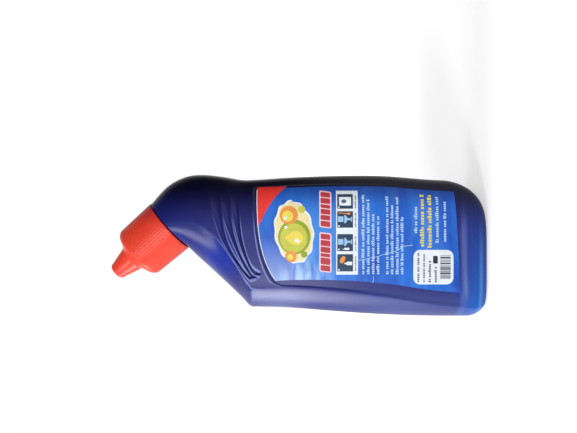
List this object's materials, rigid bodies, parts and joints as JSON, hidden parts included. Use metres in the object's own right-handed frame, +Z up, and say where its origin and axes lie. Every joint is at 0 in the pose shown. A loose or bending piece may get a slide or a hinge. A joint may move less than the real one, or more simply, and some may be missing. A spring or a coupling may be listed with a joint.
{
  "type": "toilet cleaner bottle",
  "caption": "Squeezable oblong bottle with a leaning neck, finger grooves, a pour plug, a ribbed screw cap with a nipple, a front label and its liquid.",
  "frame": {"origin": "centre of the box's foot, on the surface that the bottle stands on", "axes": "+Z up the bottle, X across its broad face with the neck leaning to -X, +Y through its thickness"},
  "size_m": [0.07, 0.0375, 0.183],
  "materials": {
    "bottle_plastic": "blow-moulded polyethylene, dark blue, half gloss",
    "plug_plastic": "soft natural polyethylene",
    "cap_plastic": "moulded polypropylene, orange red, half gloss, ribbed skirt",
    "label_film": "printed film, gloss, blue with a red corner",
    "cleaner_liquid": "blue liquid"
  },
  "bodies": {
    "bottle": {"bottle": "bottle_plastic", "nozzle_insert": "plug_plastic", "front_label": "label_film", "cleaner_fill": "cleaner_liquid"},
    "cap": {"cap": "cap_plastic"}
  },
  "joints": [
    {"name": "cap_lift_off", "type": "slide", "parent": "bottle", "child": "cap", "axis": [-0.6561, 0, 0.7547], "range_m": [0, 0.045]}
  ]
}
